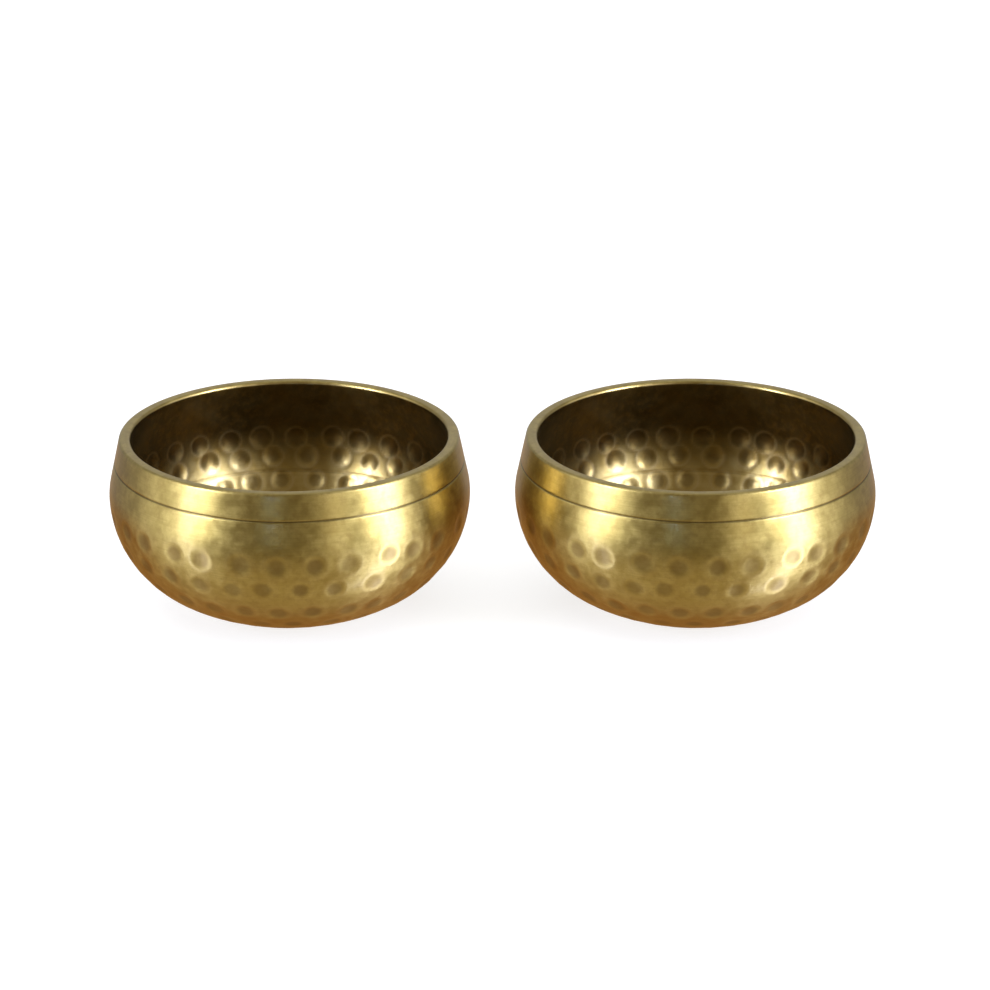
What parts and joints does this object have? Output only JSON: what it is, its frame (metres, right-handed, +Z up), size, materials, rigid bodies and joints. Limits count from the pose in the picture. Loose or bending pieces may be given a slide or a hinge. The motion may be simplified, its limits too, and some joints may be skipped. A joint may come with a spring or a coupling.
{
  "type": "singing bowl pair",
  "caption": "Matched round brass bowls with hammered bellies and smooth leaning rims, struck rim to rim or with a mallet to ring.",
  "frame": {"origin": "midway between the two bowls' axes, on the plane that both feet rest on", "axes": "+X from bowl_left's axis to bowl_right's, +Z up out of the mouths, -Y towards the player"},
  "size_m": [0.17, 0.08, 0.0396],
  "materials": {
    "hammered_brass": "satin, turned and hand hammered, with a thin brown patina in the marks and inside"
  },
  "bodies": {
    "bowl_left": {"bowl_left": "hammered_brass"},
    "bowl_right": {"bowl_right": "hammered_brass"}
  },
  "joints": [
    {"name": "bowl_right_lift", "type": "slide", "parent": "bowl_left", "child": "bowl_right", "axis": [0, 0, 1], "range_m": [0, 0.08]}
  ]
}
